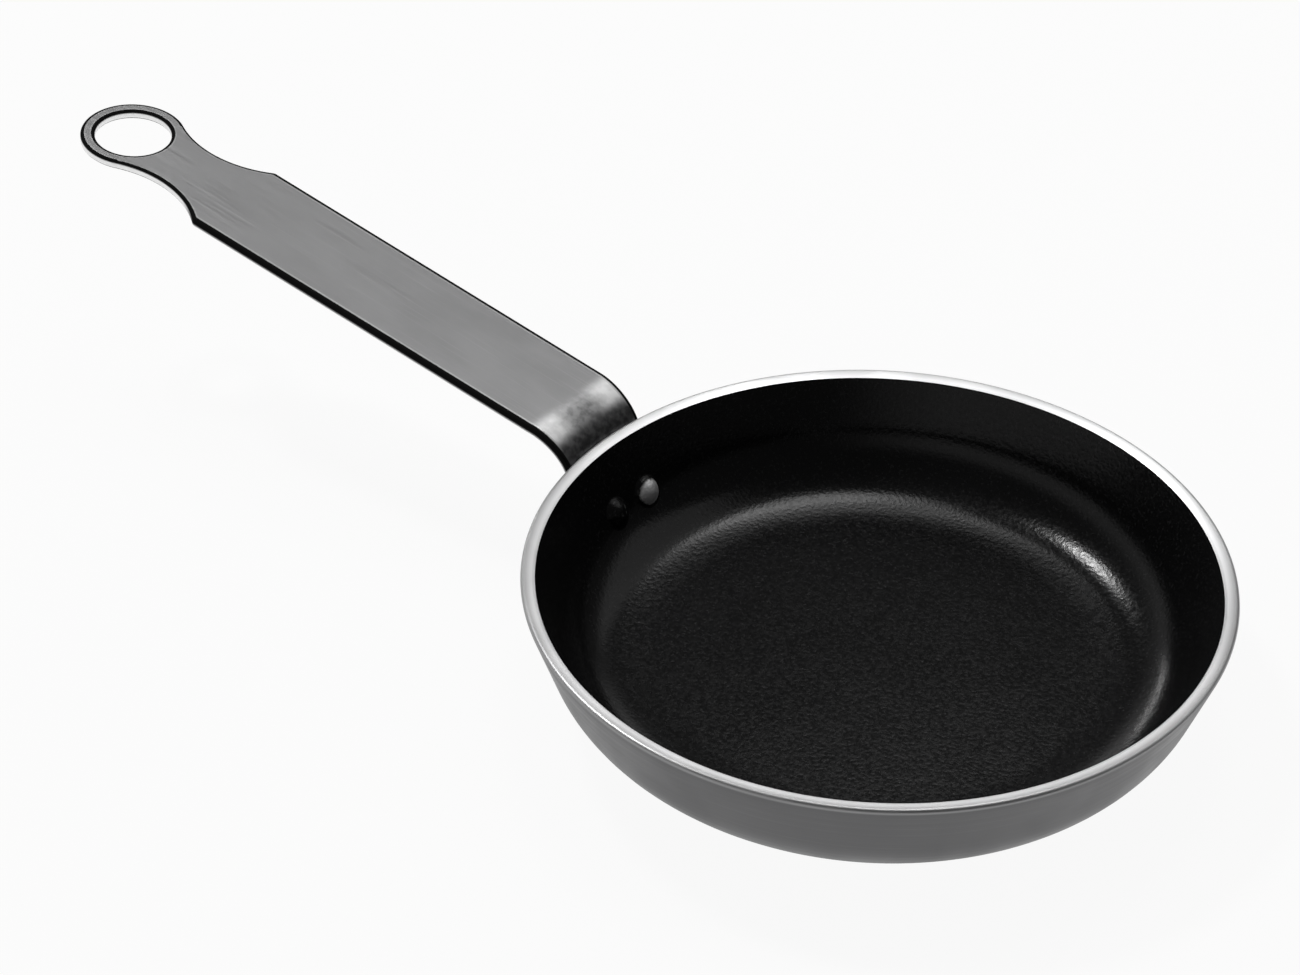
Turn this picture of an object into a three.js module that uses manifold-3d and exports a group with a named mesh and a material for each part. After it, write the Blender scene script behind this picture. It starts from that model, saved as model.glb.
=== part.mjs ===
// A small round blini pan: a pressed aluminium body with a non-stick lining, and a bent steel strip
// for a handle, held to the wall by two rivets.
// Millimetres, +Z up. The origin is the centre of the base's underside. The handle runs out along -X.

import * as THREE from 'three';
import { mergeVertices } from 'three/addons/utils/BufferGeometryUtils.js';
import Module from 'manifold-3d';

const wasm = await Module();
wasm.setup();

const { degToRad } = THREE.MathUtils;

// Gap between pieces that lie against each other
const FIT = 0.3;

// Pan body
const RIM_DIAMETER = 120;            // outside, at the corner that the rim's round takes off
const PAN_HEIGHT = 22.5;
const WALL_ANGLE = degToRad(71.5);   // slope of the wall, from the horizontal
const CORNER_RADIUS = 16;            // outside curve from the base into the wall
const WALL = 2.4;
const FLOOR = 3;
const RIM_ROUND = 0.5;               // outer edge of the rim
const RIM_INNER_ROUND = 0.4;
const RIM_SLOPE = degToRad(12);      // of the rim's top face, down to the inside

// Non-stick lining
const LINING = 0.4;
const LINING_DROP = 0.8;             // from the rim down to the lining's edge

// Handle: a flat strip with a waist and a hanging eye, bent down into a flange on the wall
const STRIP = 1.8;                   // thickness
const STRIP_EDGE = 0.3;              // bevel along the strip's edges
const WIDTH_AT_BEND = 21;
const WIDTH_AT_SHOULDER = 22;
const HANDLE_RISE = degToRad(8.25);  // slope of the handle, from the horizontal
const HANDLE_LIFT = 4;               // top face above the rim, straight over the rim's edge
const BEND_RADIUS = 10.4;            // top face of the bend
const EYE_REACH = 118;               // from over the rim's edge to the eye's centre, along the handle
const EYE_DIAMETER = 20.2;
const EYE_HOLE = 14.7;
const WAIST_WIDTH = 13.4;
const WAIST_RADIUS = 22;
const FLANGE_WIDTH = 19.4;
const FLANGE_CORNER = 5;

// Rivets
const RIVET_DROP = 12.4;             // from the rim's edge to the rivets' row, down the wall
const RIVET_SPACING = 9;
const RIVET_MARGIN = 5.4;            // from the rivets' row to the flange's end
const SHANK_DIAMETER = 3.2;
const INNER_HEAD_DIAMETER = 5.4;
const INNER_HEAD_HEIGHT = 1.7;
const OUTER_HEAD_DIAMETER = 7;
const OUTER_HEAD_HEIGHT = 1.6;

// Fineness of the round faces
const PAN_SIDES = 64;
const CURVE_STEPS = 8;
const ROUND_STEPS = 4;
const HOLE_SIDES = 32;
const RIVET_SIDES = 20;
const STRIP_ACROSS = 8;

const RIM_CORNER = new THREE.Vector2(RIM_DIAMETER / 2, PAN_HEIGHT);
const WALL_OUT = direction(WALL_ANGLE);
const WALL_UP = new THREE.Vector2(Math.cos(WALL_ANGLE), Math.sin(WALL_ANGLE));

// Unit vector at an angle from straight down, turning outwards, in the plane of radius and height.
function direction(angle) {
  return new THREE.Vector2(Math.sin(angle), -Math.cos(angle));
}

// Points of an arc about a centre, from one such angle to another.
function arc(centre, radius, from, to, steps) {
  return Array.from({ length: steps + 1 }, (_, i) => {
    const angle = from + (to - from) * i / steps;
    return direction(angle).multiplyScalar(radius).add(centre);
  });
}

// Radius, at a height, of the wall's surface set in from the outside by a depth.
function wallRadius(depth, height) {
  return RIM_CORNER.x + ((height - PAN_HEIGHT) * Math.cos(WALL_ANGLE) - depth) / Math.sin(WALL_ANGLE);
}

// Centre of the curve between a floor at a level and the wall's surface at a depth.
function curveCentre(depth, level) {
  const height = level + CORNER_RADIUS - depth;
  return new THREE.Vector2(wallRadius(CORNER_RADIUS, height), height);
}

// Floor curve of a surface at a depth in the wall, over a floor at a level, from the floor up.
function floorCurve(depth, level) {
  return arc(curveCentre(depth, level), CORNER_RADIUS - depth, 0, WALL_ANGLE, CURVE_STEPS);
}

// A closed geometry as a solid for cutting and joining.
function solid(geometry) {
  geometry.deleteAttribute('normal');
  geometry.deleteAttribute('uv');
  const merged = mergeVertices(geometry, 1e-4);
  const index = merged.index.array;
  const triangles = [];
  for (let i = 0; i < index.length; i += 3) {
    const [a, b, c] = index.slice(i, i + 3);
    if (a !== b && b !== c && c !== a) triangles.push(a, b, c);
  }
  return new wasm.Manifold(new wasm.Mesh({
    numProp: 3,
    vertProperties: merged.attributes.position.array,
    triVerts: Uint32Array.from(triangles),
  }));
}

// A profile of radius and height, from the axis round to the axis, turned about Z.
function turned(profile, sides) {
  return solid(new THREE.LatheGeometry(profile, sides).rotateX(Math.PI / 2));
}

// The space inside a surface at a depth in the wall, over a floor at a level, up to a height.
function panForm(depth, level, height) {
  const edge = new THREE.Vector2(wallRadius(depth, height), height);
  const bottom = new THREE.Vector2(0, level);
  const top = new THREE.Vector2(0, height);
  return turned([bottom, ...floorCurve(depth, level), edge, top], PAN_SIDES);
}

function piece(name, shape, colour, roughness, metalness) {
  const { vertProperties, triVerts } = shape.getMesh();
  const geometry = new THREE.BufferGeometry();
  geometry.setAttribute('position', new THREE.BufferAttribute(vertProperties, 3));
  geometry.setIndex(new THREE.BufferAttribute(triVerts, 1));
  geometry.computeVertexNormals();
  const material = new THREE.MeshStandardMaterial({ color: colour, roughness, metalness });
  const mesh = new THREE.Mesh(geometry, material);
  mesh.name = name;
  return mesh;
}

// Pan body

// Centre of the rim's inner round, under the top face that slopes in from the outer round.
function innerRoundCentre(outerRound) {
  const depth = WALL - RIM_INNER_ROUND;
  const run = outerRound.x - wallRadius(depth, outerRound.y);
  const drop = RIM_INNER_ROUND - RIM_ROUND + run * Math.sin(RIM_SLOPE);
  const height = outerRound.y - drop / (Math.cos(RIM_SLOPE) - Math.sin(RIM_SLOPE) / Math.tan(WALL_ANGLE));
  return new THREE.Vector2(wallRadius(depth, height), height);
}

function bodyShape() {
  const outerHeight = PAN_HEIGHT - RIM_ROUND;
  const outerRound = new THREE.Vector2(wallRadius(RIM_ROUND, outerHeight), outerHeight);
  const innerRound = innerRoundCentre(outerRound);
  const topFace = Math.PI + RIM_SLOPE;
  const profile = [
    new THREE.Vector2(0, 0),
    ...floorCurve(0, 0),
    ...arc(outerRound, RIM_ROUND, WALL_ANGLE, topFace, ROUND_STEPS),
    ...arc(innerRound, RIM_INNER_ROUND, topFace, Math.PI + WALL_ANGLE, ROUND_STEPS),
    ...floorCurve(WALL, FLOOR).reverse(),
    new THREE.Vector2(0, FLOOR),
  ];
  return turned(profile, PAN_SIDES);
}

// Non-stick lining

function liningShape() {
  const back = WALL + FIT;
  const face = back + LINING;
  const under = FLOOR + FIT;
  const edge = PAN_HEIGHT - LINING_DROP;
  const outside = panForm(back, under, edge);
  return outside.subtract(panForm(face, under + LINING, PAN_HEIGHT));
}

// Handle

// Distance down the outside of the wall, from the rim's edge, at which the floor curve starts.
const CURVE_START = (PAN_HEIGHT - curveCentre(0, 0).y - CORNER_RADIUS * WALL_OUT.y) / WALL_UP.y;

// Point and slope at a distance down the wall from the rim's edge, held off the outside by a gap.
function onWall(distance, gap) {
  if (distance <= CURVE_START) {
    const point = RIM_CORNER.clone().addScaledVector(WALL_UP, -distance).addScaledVector(WALL_OUT, gap);
    return { point, angle: WALL_ANGLE };
  }
  const angle = WALL_ANGLE - (distance - CURVE_START) / CORNER_RADIUS;
  const point = direction(angle).multiplyScalar(CORNER_RADIUS + gap).add(curveCentre(0, 0));
  return { point, angle };
}

// The handle's top face is a line that starts over the rim's edge. Places along the strip are measured
// outwards from there, and are negative round the bend and down the flange.
const LINE_START = new THREE.Vector2(RIM_CORNER.x, PAN_HEIGHT + HANDLE_LIFT);
const LINE_ALONG = new THREE.Vector2(Math.cos(HANDLE_RISE), Math.sin(HANDLE_RISE));
const LINE_DOWN = direction(HANDLE_RISE);

// The bend's centre lies one radius under the handle's line and one radius outside the flange's face.
const underLine = LINE_START.clone().addScaledVector(LINE_DOWN, BEND_RADIUS);
const shortBy = FIT + BEND_RADIUS - underLine.clone().sub(RIM_CORNER).dot(WALL_OUT);
const BEND_START = shortBy / LINE_ALONG.dot(WALL_OUT);
const BEND_CENTRE = underLine.addScaledVector(LINE_ALONG, BEND_START);
const BEND_END = BEND_START - BEND_RADIUS * (WALL_ANGLE - HANDLE_RISE);
const FLANGE_TOP = RIM_CORNER.clone().sub(BEND_CENTRE).dot(WALL_UP);
const FLANGE_END = BEND_END - (RIVET_DROP + RIVET_MARGIN - FLANGE_TOP);

// Point and slope of the strip's top face at a place along it.
function onStrip(along) {
  if (along >= BEND_START) {
    return { point: LINE_START.clone().addScaledVector(LINE_ALONG, along), angle: HANDLE_RISE };
  }
  if (along >= BEND_END) {
    const angle = HANDLE_RISE + (BEND_START - along) / BEND_RADIUS;
    return { point: BEND_CENTRE.clone().addScaledVector(direction(angle), -BEND_RADIUS), angle };
  }
  return onWall(FLANGE_TOP + BEND_END - along, FIT);
}

// Point of the strip under its top face. The flange is wrapped round the wall, and flattens in the bend.
function inStrip(along, across, under) {
  const { point, angle } = onStrip(along);
  const { x: radius, y: height } = point.addScaledVector(direction(angle), under);
  const wrap = 1 - THREE.MathUtils.smoothstep(along, BEND_END, BEND_START);
  const sag = radius - Math.sqrt(radius ** 2 - across ** 2);
  return new THREE.Vector3(wrap * sag - radius, across, height);
}

// One edge of the strip from the eye's tip to the flange's end, as places with the edge's outward normal.
function stripEdge() {
  const edge = [];
  const add = (along, across, normalAlong, normalAcross) => {
    const normal = new THREE.Vector2(normalAlong, normalAcross).normalize();
    edge.push({ along, across, normal });
  };
  const each = (steps, place) => {
    for (let i = 0; i <= steps; i++) place(i / steps);
  };
  const eye = EYE_DIAMETER / 2;
  const waistCentre = WAIST_WIDTH / 2 + WAIST_RADIUS;
  const waistAngle = Math.acos(waistCentre / (WAIST_RADIUS + eye));
  const waist = EYE_REACH - (WAIST_RADIUS + eye) * Math.sin(waistAngle);
  const shoulderAngle = -Math.acos((waistCentre - WIDTH_AT_SHOULDER / 2) / WAIST_RADIUS);
  const eyeEnd = Math.PI / 2 + waistAngle;
  each(2 * CURVE_STEPS, (share) => {
    const angle = eyeEnd * share;
    add(EYE_REACH + eye * Math.cos(angle), eye * Math.sin(angle), Math.cos(angle), Math.sin(angle));
  });
  each(2 * CURVE_STEPS, (share) => {
    if (share === 0) return;
    const angle = waistAngle + (shoulderAngle - waistAngle) * share;
    const along = waist + WAIST_RADIUS * Math.sin(angle);
    add(along, waistCentre - WAIST_RADIUS * Math.cos(angle), -Math.sin(angle), Math.cos(angle));
  });
  // The shoulder's corner turns halfway between the waist and the strip's straight edge.
  edge.at(-1).normal.add(new THREE.Vector2(0, 1)).normalize();
  const half = FLANGE_WIDTH / 2;
  each(CURVE_STEPS, (share) => {
    const across = WIDTH_AT_BEND / 2 + (half - WIDTH_AT_BEND / 2) * share;
    add(BEND_START + (BEND_END - BEND_START) * share, across, 0, 1);
  });
  const cornerStart = FLANGE_END + FLANGE_CORNER;
  each(ROUND_STEPS, (share) => {
    if (share > 0) add(BEND_END + (cornerStart - BEND_END) * share, half, 0, 1);
  });
  each(ROUND_STEPS, (share) => {
    if (share === 0) return;
    const angle = Math.PI / 2 * share;
    const along = cornerStart - FLANGE_CORNER * Math.sin(angle);
    add(along, half - FLANGE_CORNER * (1 - Math.cos(angle)), -Math.sin(angle), Math.cos(angle));
  });
  return edge;
}

// The bent strip: rows of points across it, at each place of its edge, on four levels from its top face
// to its under face. The two faces are drawn in by the bevel.
function stripShape() {
  const edge = stripEdge();
  const levels = [[0, STRIP_EDGE], [STRIP_EDGE, 0], [STRIP - STRIP_EDGE, 0], [STRIP, STRIP_EDGE]];
  const positions = [];
  for (const [under, inset] of levels) {
    for (const { along, across, normal } of edge) {
      for (let i = 0; i <= STRIP_ACROSS; i++) {
        const share = 1 - 2 * i / STRIP_ACROSS;
        const half = Math.max(0, across - inset * normal.y);
        positions.push(...inStrip(along - inset * normal.x, half * share, under).toArray());
      }
    }
  }
  const rows = edge.length;
  const last = levels.length - 1;
  const at = (level, row, column) => (level * rows + row) * (STRIP_ACROSS + 1) + column;
  const triangles = [];
  const quad = (a, b, c, d) => triangles.push(a, b, c, a, c, d);
  for (let row = 0; row < rows - 1; row++) {
    for (let i = 0; i < STRIP_ACROSS; i++) {
      quad(at(0, row, i), at(0, row, i + 1), at(0, row + 1, i + 1), at(0, row + 1, i));
      quad(at(last, row, i), at(last, row + 1, i), at(last, row + 1, i + 1), at(last, row, i + 1));
    }
    for (let level = 0; level < last; level++) {
      const right = STRIP_ACROSS;
      quad(at(level, row, 0), at(level, row + 1, 0), at(level + 1, row + 1, 0), at(level + 1, row, 0));
      quad(at(level, row + 1, right), at(level, row, right),
        at(level + 1, row, right), at(level + 1, row + 1, right));
    }
  }
  for (let level = 0; level < last; level++) {
    for (let i = 0; i < STRIP_ACROSS; i++) {
      const end = rows - 1;
      quad(at(level, 0, i + 1), at(level, 0, i), at(level + 1, 0, i), at(level + 1, 0, i + 1));
      quad(at(level, end, i), at(level, end, i + 1), at(level + 1, end, i + 1), at(level + 1, end, i));
    }
  }
  const geometry = new THREE.BufferGeometry();
  geometry.setAttribute('position', new THREE.Float32BufferAttribute(positions, 3));
  geometry.setIndex(triangles);
  return solid(geometry);
}

// The eye's hole, bevelled like the strip's edges, as a cutter along Z about the strip's middle.
function eyeCutter() {
  const hole = EYE_HOLE / 2;
  const face = STRIP / 2;
  const profile = [
    [0, -STRIP], [hole + STRIP_EDGE + face, -STRIP], [hole, STRIP_EDGE - face],
    [hole, face - STRIP_EDGE], [hole + STRIP_EDGE + face, STRIP], [0, STRIP],
  ];
  const cutter = new THREE.LatheGeometry(profile.map(([r, z]) => new THREE.Vector2(r, z)), HOLE_SIDES);
  cutter.rotateX(Math.PI / 2).rotateY(HANDLE_RISE);
  cutter.translate(...inStrip(EYE_REACH, 0, face).toArray());
  return solid(cutter);
}

// Rivets

// Places a solid that is made about Z on a rivet's axis: its origin on the wall's outside, +Z outwards.
function atRivet(geometry, side) {
  const { point, angle } = onWall(RIVET_DROP, 0);
  const turn = Math.asin(RIVET_SPACING / 2 / point.x) * side;
  const out = direction(angle);
  const normal = new THREE.Vector3(-Math.cos(turn) * out.x, Math.sin(turn) * out.x, out.y);
  geometry.applyQuaternion(new THREE.Quaternion().setFromUnitVectors(new THREE.Vector3(0, 0, 1), normal));
  geometry.translate(-point.x * Math.cos(turn), point.x * Math.sin(turn), point.y);
  return solid(geometry);
}

// A round bar along a rivet's axis.
function rivetBar(diameter, low, high, side) {
  const bar = new THREE.CylinderGeometry(diameter / 2, diameter / 2, high - low, RIVET_SIDES);
  return atRivet(bar.rotateX(Math.PI / 2).translate(0, 0, (low + high) / 2), side);
}

// A domed head whose crown stands at a height on a rivet's axis. A negative height faces into the pan.
function rivetHead(diameter, height, foot, crown, side) {
  const radius = diameter / 2;
  const sphere = (radius ** 2 + height ** 2) / (2 * height);
  const centre = new THREE.Vector2(0, Math.abs(crown) - sphere);
  const rim = Math.PI - Math.asin(radius / sphere);
  const dome = arc(centre, sphere, rim, Math.PI, CURVE_STEPS);
  const profile = [new THREE.Vector2(0, foot), new THREE.Vector2(radius, foot), ...dome];
  const head = new THREE.LatheGeometry(profile, RIVET_SIDES).rotateX(Math.PI / 2);
  if (crown < 0) head.rotateX(Math.PI);
  return atRivet(head, side);
}

// A rivet's two heads are cut to the curve of what they lie on.
function rivetShape(side) {
  const lined = WALL + FIT + LINING + FIT;
  const clad = FIT + STRIP + FIT;
  const inside = panForm(lined, FLOOR + FIT + LINING + FIT, PAN_HEIGHT);
  const outside = panForm(-clad, -clad, PAN_HEIGHT + HANDLE_LIFT);
  const innerCrown = -lined - INNER_HEAD_HEIGHT;
  const outerCrown = clad + OUTER_HEAD_HEIGHT;
  const innerHead = rivetHead(INNER_HEAD_DIAMETER, INNER_HEAD_HEIGHT, WALL, innerCrown, side);
  const outerHead = rivetHead(OUTER_HEAD_DIAMETER, OUTER_HEAD_HEIGHT, 0, outerCrown, side);
  const shank = rivetBar(SHANK_DIAMETER, -lined - INNER_HEAD_HEIGHT / 2, clad + OUTER_HEAD_HEIGHT / 2, side);
  return shank.add(innerHead.intersect(inside)).add(outerHead.subtract(outside));
}

// The rivet's hole through the lining, the wall and the flange.
function rivetHole(side) {
  const reach = WALL + LINING + STRIP + 4 * FIT;
  return rivetBar(SHANK_DIAMETER + 2 * FIT, -reach, reach, side);
}

const SIDES = { rivet_left: -1, rivet_right: 1 };
const holes = Object.values(SIDES).map(rivetHole);
const drilled = (shape) => holes.reduce((rest, hole) => rest.subtract(hole), shape);

const pan = new THREE.Group();
pan.add(piece('pan_body', drilled(bodyShape()), 0xb4b5b7, 0.42, 0.9));
pan.add(piece('nonstick_lining', drilled(liningShape()), 0x1c1c1d, 0.5, 0));
pan.add(piece('handle', drilled(stripShape().subtract(eyeCutter())), 0x8a8b8d, 0.45, 0.9));
for (const [name, side] of Object.entries(SIDES)) {
  pan.add(piece(name, rivetShape(side), 0x242425, 0.45, 0.2));
}

export default pan;
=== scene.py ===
"""A blini pan: a spun aluminium body, its non-stick lining, a riveted strip handle, and their stage."""

import math

import bmesh
import bpy
from bpy.props import FloatProperty, FloatVectorProperty, PointerProperty
from bpy.types import NodeSocket, Operator, Panel, PropertyGroup
from mathutils import Matrix, Vector
from mathutils.bvhtree import BVHTree


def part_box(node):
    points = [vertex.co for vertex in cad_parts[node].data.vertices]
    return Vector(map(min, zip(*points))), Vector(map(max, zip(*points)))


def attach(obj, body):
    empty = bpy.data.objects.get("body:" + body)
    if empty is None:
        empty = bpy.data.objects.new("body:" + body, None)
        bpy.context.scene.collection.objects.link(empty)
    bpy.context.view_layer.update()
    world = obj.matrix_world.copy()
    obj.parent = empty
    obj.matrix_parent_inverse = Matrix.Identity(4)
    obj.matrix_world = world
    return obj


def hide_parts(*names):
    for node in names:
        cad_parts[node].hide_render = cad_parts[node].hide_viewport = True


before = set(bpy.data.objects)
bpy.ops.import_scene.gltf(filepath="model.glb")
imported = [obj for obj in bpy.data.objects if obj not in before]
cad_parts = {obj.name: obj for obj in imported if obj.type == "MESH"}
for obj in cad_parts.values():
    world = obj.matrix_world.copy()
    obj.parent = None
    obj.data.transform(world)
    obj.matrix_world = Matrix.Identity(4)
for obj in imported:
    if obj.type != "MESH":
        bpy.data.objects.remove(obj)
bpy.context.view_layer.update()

bl_info = {
    "name": "Blini Pan",
    "version": (1, 0, 0),
    "blender": (4, 5, 0),
    "location": "View3D > Sidebar > Blini Pan",
    "description": "Makes a small riveted blini pan and the stage that it is shown on",
    "category": "Add Mesh",
}

BODY = "root"
PAN_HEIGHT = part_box("pan_body")[1].z

# The picture that the camera's place is given in, in pixels
PICTURE_WIDTH = 1300
PICTURE_HEIGHT = 975

# What each lamp is, its height over the horizon and its heading from straight behind the pan round to the
# right, in degrees, its side along the horizon and its other side in metres, and its power in watts
LAMPS = {
    "softbox": ("softbox behind and over the pan", 62.0, 14.5, 0.42, 0.68, 5.0),
    "fill": ("fill lamp under the softbox", 51.0, 8.5, 0.5, 0.22, 1.0),
    "key": ("small lamp at the back on the left", 53.0, -40.3, 0.31, 0.28, 13.0),
    "side": ("wide lamp on the right, for the bend and the rivets", 47.0, 55.0, 1.7, 1.3, 3.8),
    "strip": ("low strip lamp at the back on the left", 13.5, -20.5, 0.6, 0.12, 2.0),
}

# Share of the way round to the left at which the surround's light on that side starts, and is full
ROOM_FROM = -0.3
ROOM_FULL = 0.5

# Fineness of the meshes
PAN_SIDES = 288
WALL_STEPS = 8
CURVE_STEPS = 20
FLOOR_RINGS = 10
ROUND_STEPS = 6
STRIP_COLUMNS = 24
EDGE_STEPS = 5
EYE_STEPS = 60
EYE_RINGS = 3
RIVET_SIDES = 48
DOME_STEPS = 12

# Gap left between faces that are pressed together
SEAM = 0.00004

# Length up to which an edge left by drilling is taken away
NEEDLE = 0.000002

# Angle from which an edge is shaded sharp
SHARP = math.radians(40.0)


# Settings


def size(name, description, default):
    return FloatProperty(
        name=name, description=description, default=default, min=0.0, precision=5, unit="LENGTH"
    )


def angle(name, description, degrees):
    return FloatProperty(
        name=name, description=description, default=math.radians(degrees), subtype="ANGLE", unit="ROTATION"
    )


def share(name, description, default):
    return FloatProperty(
        name=name, description=description, default=default, min=0.0, max=1.0, subtype="FACTOR"
    )


def colour(name, description, default):
    return FloatVectorProperty(
        name=name, description=description, default=default, size=3, min=0.0, max=1.0, subtype="COLOR"
    )


def watts(name, description, default):
    return FloatProperty(name=name, description=description, default=default, min=0.0, unit="POWER")


def lamp_settings():
    """The five settings of each lamp, by their names."""
    made = {}
    for name, (lamp, height, heading, width, depth, power) in LAMPS.items():
        title = name.title()
        made[name + "_height"] = angle(title + " Height", f"Height over the horizon of the {lamp}", height)
        made[name + "_heading"] = angle(title + " Heading", "Turn from behind to the right", heading)
        made[name + "_width"] = size(title + " Width", f"Side along the horizon of the {lamp}", width)
        made[name + "_depth"] = size(title + " Depth", f"Other side of the {lamp}", depth)
        made[name + "_power"] = watts(title + " Power", f"Power of the {lamp}", power)
    return made


class BliniBodySettings(PropertyGroup):
    rim_diameter: size("Rim Diameter", "Outside of the rim, at the corner that its round takes off", 0.120)
    height: size("Height", "From the underside to the rim", PAN_HEIGHT)
    wall_angle: angle("Wall Angle", "Slope of the wall, from the horizontal", 71.5)
    corner_radius: size("Corner Radius", "Outside curve from the base into the wall", 0.016)
    wall: size("Wall", "Thickness of the wall", 0.0024)
    floor: size("Floor", "Thickness of the floor", 0.003)
    blend_radius: size("Blend Radius", "Wider curve with which the inside rises from the floor", 0.045)
    blend_angle: angle("Blend Angle", "Slope at which that curve goes over into the corner's curve", 8.0)
    rim_round: size("Rim Round", "Outer edge of the rim", 0.0006)
    rim_inner_round: size("Rim Inner Round", "Inner edge of the rim", 0.0002)
    rim_slope: angle("Rim Slope", "Slope of the rim's top face, down to the inside", 15.0)
    outside_colour: colour("Outside Colour", "Satin metal of the wall", (0.106, 0.106, 0.108))
    bare_colour: colour("Bare Colour", "Bare metal of the rim", (0.94, 0.94, 0.945))
    turning_pitch: size("Turning Pitch", "Distance between the turning marks", 0.0005)


class BliniLiningSettings(PropertyGroup):
    coat: size("Coat", "Height of the coat's face over the metal", 0.0007)
    edge_drop: size("Edge Drop", "From the rim down to the coat's edge", 0.00042)
    feather: size("Feather", "Length over which the coat thins out towards its edge", 0.0085)
    coat_colour: colour("Coat Colour", "Black of the coat", (0.005, 0.005, 0.0052))
    fleck_colour: colour("Fleck Colour", "Paler grains in the coat", (0.016, 0.016, 0.0165))
    grain: size("Grain", "Size of the coat's grain", 0.0007)


class BliniHandleSettings(PropertyGroup):
    strip: size("Strip", "Thickness of the strip", 0.0018)
    edge_round: size("Edge Round", "Round along the strip's edges", 0.0005)
    width_at_bend: size("Width at Bend", "Width where the bend starts", 0.021)
    width_at_shoulder: size("Width at Shoulder", "Width where the waist starts", 0.022)
    rise: angle("Rise", "Slope of the handle, from the horizontal", 8.25)
    lift: size("Lift", "Top face above the rim, straight over the rim's edge", 0.004)
    bend_radius: size("Bend Radius", "Top face of the bend", 0.0104)
    eye_reach: size("Eye Reach", "From over the rim's edge to the eye's centre", 0.118)
    eye_diameter: size("Eye Diameter", "Outside of the hanging eye", 0.0202)
    eye_hole: size("Eye Hole", "Hole of the hanging eye", 0.0147)
    waist_width: size("Waist Width", "Narrowest width, before the eye", 0.0134)
    waist_radius: size("Waist Radius", "Curve of the waist's edges", 0.022)
    shoulder_round: size("Shoulder Round", "Round between the straight edge and the waist", 0.0015)
    flange_width: size("Flange Width", "Width of the flange on the wall", 0.0194)
    flange_corner: size("Flange Corner", "Round of the flange's corners", 0.005)
    face_colour: colour("Face Colour", "Rolled faces of the strip", (0.243, 0.243, 0.245))
    # Colour of the painted highlights on the bend, along the edges and on the edges' sides
    highlight_colour: colour("Highlight Colour", "Faces next to the edges, rubbed bright", (0.46, 0.46, 0.46))
    # Colour of the painted shade on the strip's edges
    shaded_edge_colour: colour("Edge Colour", "Sheared edges", (0.012, 0.012, 0.012))


class BliniRivetSettings(PropertyGroup):
    drop: size("Drop", "From the rim's edge to the rivets' row, down the wall", 0.0124)
    spacing: size("Spacing", "Between the two rivets", 0.009)
    margin: size("Margin", "From the rivets' row to the flange's end", 0.0054)
    shank_diameter: size("Shank Diameter", "Shank of a rivet", 0.0032)
    hole_clearance: size("Hole Clearance", "Between a shank and its hole", 0.0003)
    inner_head_diameter: size("Inner Head Diameter", "Coated head inside the pan", 0.0054)
    inner_head_height: size("Inner Head Height", "Coated head inside the pan", 0.0017)
    outer_head_diameter: size("Outer Head Diameter", "Formed head on the flange", 0.007)
    outer_head_height: size("Outer Head Height", "Formed head on the flange", 0.0016)
    coat_fillet: size("Coat Fillet", "Coat run in round the inner head's foot", 0.0004)
    left_wear: share("Left Wear", "How far the coat is worn off the left rivet's head", 0.28)
    right_wear: share("Right Wear", "How far the coat is worn off the right rivet's head", 1.0)
    worn_colour: colour("Worn Colour", "Metal where the coat is worn off", (0.92, 0.92, 0.925))
    metal_colour: colour("Metal Colour", "Bare rivet", (0.42, 0.42, 0.43))


class BliniStageSettings(PropertyGroup):
    azimuth: angle("Azimuth", "Camera's turn about the pan's axis", 38.6)
    elevation: angle("Elevation", "Camera's view down onto the pan", 36.26)
    distance: size("Distance", "From the camera to the aim, along the view", 0.48315)
    aim_height: size("Aim Height", "Height on the pan's axis, of the aim inside the rim", 0.022)
    lens: FloatProperty(
        name="Lens", description="Focal length in millimetres", default=80.0, min=1.0, unit="CAMERA"
    )
    aim_pixel: FloatVectorProperty(
        name="Aim Pixel", description="Where the aim lies in the picture", default=(877.8, 570.4),
        size=2, subtype="COORDINATES"
    )
    floor_width: size("Floor Width", "Side of the square floor", 6.0)
    floor_colour: colour("Floor Colour", "Pale floor", (0.9, 0.9, 0.9))
    floor_glow: share("Floor Glow", "How much of the floor's white is seen without its shadow", 0.93)
    white_below: angle("White Below", "Height over the horizon up to which the backdrop is white", 18.0)
    dim_above: angle("Dim Above", "Height over the horizon from which the surround is dim", 36.0)
    white_within: angle("White Within", "Turn from behind the pan up to which the backdrop is white", 15.0)
    dim_beyond: angle("Dim Beyond", "Turn from behind the pan from which the surround is dim", 37.0)
    room_level: share("Room Level", "Light of the surround low over the horizon on the left", 0.45)
    dim_level: share("Dim Level", "Light of the surround overhead and on the right", 0.08)
    __annotations__.update(lamp_settings())
    lamp_distance: size("Lamp Distance", "From the pan to the lamps", 2.0)


class BliniPanSettings(PropertyGroup):
    body: PointerProperty(type=BliniBodySettings)
    lining: PointerProperty(type=BliniLiningSettings)
    handle: PointerProperty(type=BliniHandleSettings)
    rivets: PointerProperty(type=BliniRivetSettings)
    stage: PointerProperty(type=BliniStageSettings)


# Shapes


def direction(turn):
    """Unit vector at an angle from straight down, turning outwards, in the plane of radius and height."""
    return Vector((math.sin(turn), -math.cos(turn)))


def arc(centre, radius, start, end, steps):
    """Points of an arc about a centre, from one such angle to another."""
    turns = (start + (end - start) * i / steps for i in range(steps + 1))
    return [centre + direction(turn) * radius for turn in turns]


def between(first, last, steps):
    """Points that part a straight stretch into steps, without its ends."""
    return [first.lerp(last, i / steps) for i in range(1, steps)]


def smooth(value):
    value = min(1.0, max(0.0, value))
    return value * value * (3.0 - 2.0 * value)


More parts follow.
